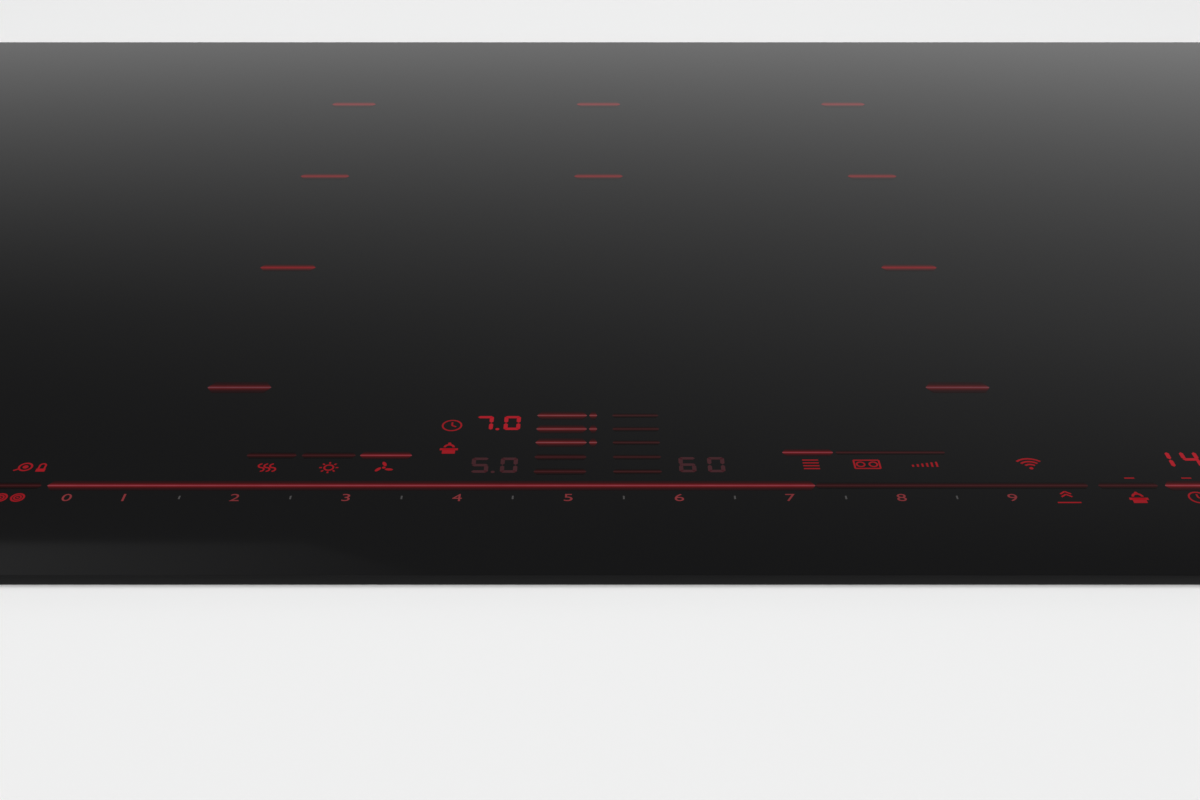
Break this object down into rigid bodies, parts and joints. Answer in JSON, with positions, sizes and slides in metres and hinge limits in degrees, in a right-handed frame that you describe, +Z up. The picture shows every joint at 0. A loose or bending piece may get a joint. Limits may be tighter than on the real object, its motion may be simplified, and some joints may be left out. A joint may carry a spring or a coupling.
{
  "type": "built-in induction cooktop",
  "caption": "Wide flat black glass induction cooktop that drops into a worktop cut-out, with flexible coil zones, a lit touch slider, blowers below and side spring clips.",
  "frame": {"origin": "middle of the glass plate on the worktop's surface, the plane of the seal's underside", "axes": "+X to the right as the cook sees it, +Y to the back, +Z up out of the worktop"},
  "size_m": [0.812, 0.52, 0.0515],
  "materials": {
    "black_glass": "polished black glass-ceramic",
    "seal_foam": "closed-cell foam strip",
    "silicone": "cured silicone",
    "frame_steel": "zinc-coated steel",
    "galvanised_sheet": "galvanised sheet steel",
    "spring_steel": "bright spring steel",
    "ferrite": "sintered ferrite",
    "sensor_pad": "silicone sensor pad",
    "mica": "mica sheet",
    "clear_acrylic": "clear acrylic lit red",
    "red_light": "clear acrylic lit red",
    "circuit_board": "solder-masked board",
    "black_moulding": "glass-filled black plastic",
    "rotor_moulding": "black plastic",
    "grey_moulding": "grey plastic",
    "white_moulding": "white plastic",
    "former_moulding": "heat-resistant ivory plastic",
    "component_black": "moulded component",
    "capacitor_case": "yellow film capacitor case",
    "choke_core": "ferrite core with winding",
    "foil": "printed sensor foil",
    "copper_litz": "enamelled copper litz",
    "coil_aluminium": "plain aluminium sheet",
    "heatsink_aluminium": "extruded aluminium",
    "motor_steel": "stator laminations and shaft"
  },
  "bodies": {
    "hob": {"base_tray": "galvanised_sheet", "board_standoffs": "black_moulding", "bonding_frame": "frame_steel", "bonding_silicone": "silicone", "clip_tabs": "spring_steel", "coil_formers_centre": "former_moulding", "coil_formers_left": "former_moulding", "coil_formers_right": "former_moulding", "coil_plate_centre": "coil_aluminium", "coil_plate_left": "coil_aluminium", "coil_plate_right": "coil_aluminium", "control_board": "circuit_board", "control_carrier": "black_moulding", "display_light_box": "white_moulding", "edge_seal": "seal_foam", "fan_housings": "black_moulding", "fan_motors": "motor_steel", "ferrite_bars": "ferrite", "film_capacitors": "capacitor_case", "filter_board": "circuit_board", "filter_chokes": "choke_core", "glass_plate": "black_glass", "heatsink_left": "heatsink_aluminium", "heatsink_right": "heatsink_aluminium", "mica_sheets": "mica", "plate_posts": "black_moulding", "plate_springs": "spring_steel", "power_board_left": "circuit_board", "power_board_right": "circuit_board", "power_transistors": "component_black", "slider_light_guide": "red_light", "temperature_sensors": "sensor_pad", "terminal_block": "white_moulding", "terminal_box": "grey_moulding", "touch_foil": "foil", "winding_centre_1": "copper_litz", "winding_centre_2": "copper_litz", "winding_left_1": "copper_litz", "winding_left_2": "copper_litz", "winding_left_3": "copper_litz", "winding_left_4": "copper_litz", "winding_right_1": "copper_litz", "winding_right_2": "copper_litz", "winding_right_3": "copper_litz", "winding_right_4": "copper_litz", "zone_led_strips": "circuit_board", "zone_light_guides": "clear_acrylic"},
    "fan_left": {"fan_rotor_left": "rotor_moulding"},
    "fan_right": {"fan_rotor_right": "rotor_moulding"},
    "clip_front_left": {"clip_leaf_front_left": "spring_steel"},
    "clip_rear_left": {"clip_leaf_rear_left": "spring_steel"},
    "clip_front_right": {"clip_leaf_front_right": "spring_steel"},
    "clip_rear_right": {"clip_leaf_rear_right": "spring_steel"},
    "terminal_flap": {"terminal_lid": "grey_moulding"}
  },
  "joints": [
    {"name": "fan_left_spin", "type": "hinge", "parent": "hob", "child": "fan_left", "pos_m": [-0.084, 0.15, -0.03], "axis": [0, 0, 1], "continuous": true},
    {"name": "fan_right_spin", "type": "hinge", "parent": "hob", "child": "fan_right", "pos_m": [0.084, 0.15, -0.03], "axis": [0, 0, 1], "continuous": true},
    {"name": "clip_front_left_flex", "type": "hinge", "parent": "hob", "child": "clip_front_left", "pos_m": [-0.3724, -0.15, -0.015], "axis": [0, -1, 0], "range_deg": [0, 10], "stiffness_Nm_per_rad": 0.2},
    {"name": "clip_rear_left_flex", "type": "hinge", "parent": "hob", "child": "clip_rear_left", "pos_m": [-0.3724, 0.15, -0.015], "axis": [0, -1, 0], "range_deg": [0, 10], "stiffness_Nm_per_rad": 0.2},
    {"name": "clip_front_right_flex", "type": "hinge", "parent": "hob", "child": "clip_front_right", "pos_m": [0.3724, -0.15, -0.015], "axis": [0, 1, 0], "range_deg": [0, 10], "stiffness_Nm_per_rad": 0.2},
    {"name": "clip_rear_right_flex", "type": "hinge", "parent": "hob", "child": "clip_rear_right", "pos_m": [0.3724, 0.15, -0.015], "axis": [0, 1, 0], "range_deg": [0, 10], "stiffness_Nm_per_rad": 0.2},
    {"name": "terminal_lid_hinge", "type": "hinge", "parent": "hob", "child": "terminal_flap", "pos_m": [0.308, 0.184, -0.0435], "axis": [-1, 0, 0], "range_deg": [0, 100]}
  ]
}
